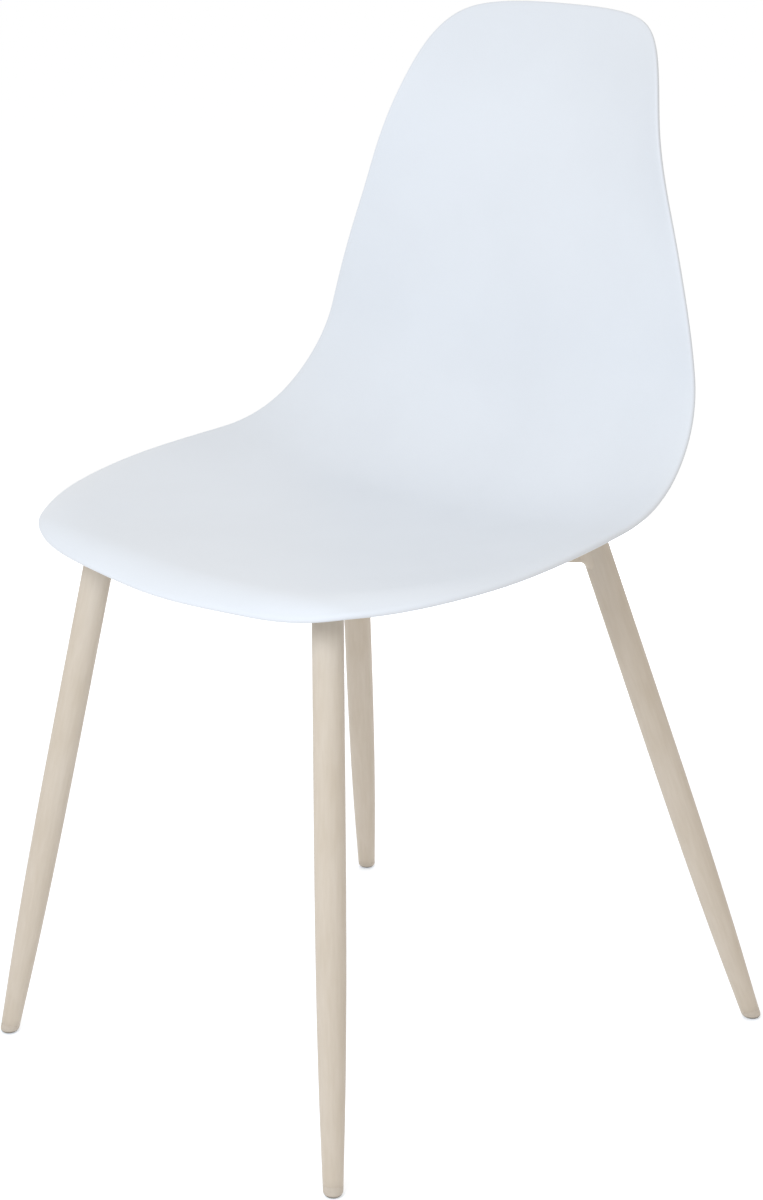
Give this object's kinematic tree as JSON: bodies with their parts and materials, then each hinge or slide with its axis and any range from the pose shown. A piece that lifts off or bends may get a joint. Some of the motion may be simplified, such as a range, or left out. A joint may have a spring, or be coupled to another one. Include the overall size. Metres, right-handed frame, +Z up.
{
  "type": "dining chair",
  "caption": "Armless dining chair: a thin white moulded seat and back shell on a welded cross frame with splayed, tapered wood-look tube legs.",
  "frame": {"origin": "on the floor, midway between the four feet", "axes": "+Z up, the sitter faces -Y, +X is the sitter's left"},
  "size_m": [0.493, 0.495, 0.8563],
  "materials": {
    "shell_plastic": "satin moulded polypropylene with a fine texture",
    "frame_coating": "satin pale wood-look coating on steel tube",
    "glide_plastic": "matt moulded plastic, coloured to match the coating",
    "fastener_steel": "zinc plated",
    "insert_brass": "turned brass"
  },
  "bodies": {
    "root": {"seat_shell": "shell_plastic", "long_rail": "frame_coating", "front_left_half_rail": "frame_coating", "rear_right_half_rail": "frame_coating", "front_left_leg": "frame_coating", "front_left_glide": "glide_plastic", "front_left_leg_cap": "glide_plastic", "front_left_screw": "fastener_steel", "front_left_washer": "fastener_steel", "front_left_insert": "insert_brass", "front_right_leg": "frame_coating", "front_right_glide": "glide_plastic", "front_right_leg_cap": "glide_plastic", "front_right_screw": "fastener_steel", "front_right_washer": "fastener_steel", "front_right_insert": "insert_brass", "rear_left_leg": "frame_coating", "rear_left_glide": "glide_plastic", "rear_left_leg_cap": "glide_plastic", "rear_left_screw": "fastener_steel", "rear_left_washer": "fastener_steel", "rear_left_insert": "insert_brass", "rear_right_leg": "frame_coating", "rear_right_glide": "glide_plastic", "rear_right_leg_cap": "glide_plastic", "rear_right_screw": "fastener_steel", "rear_right_washer": "fastener_steel", "rear_right_insert": "insert_brass"}
  },
  "joints": []
}
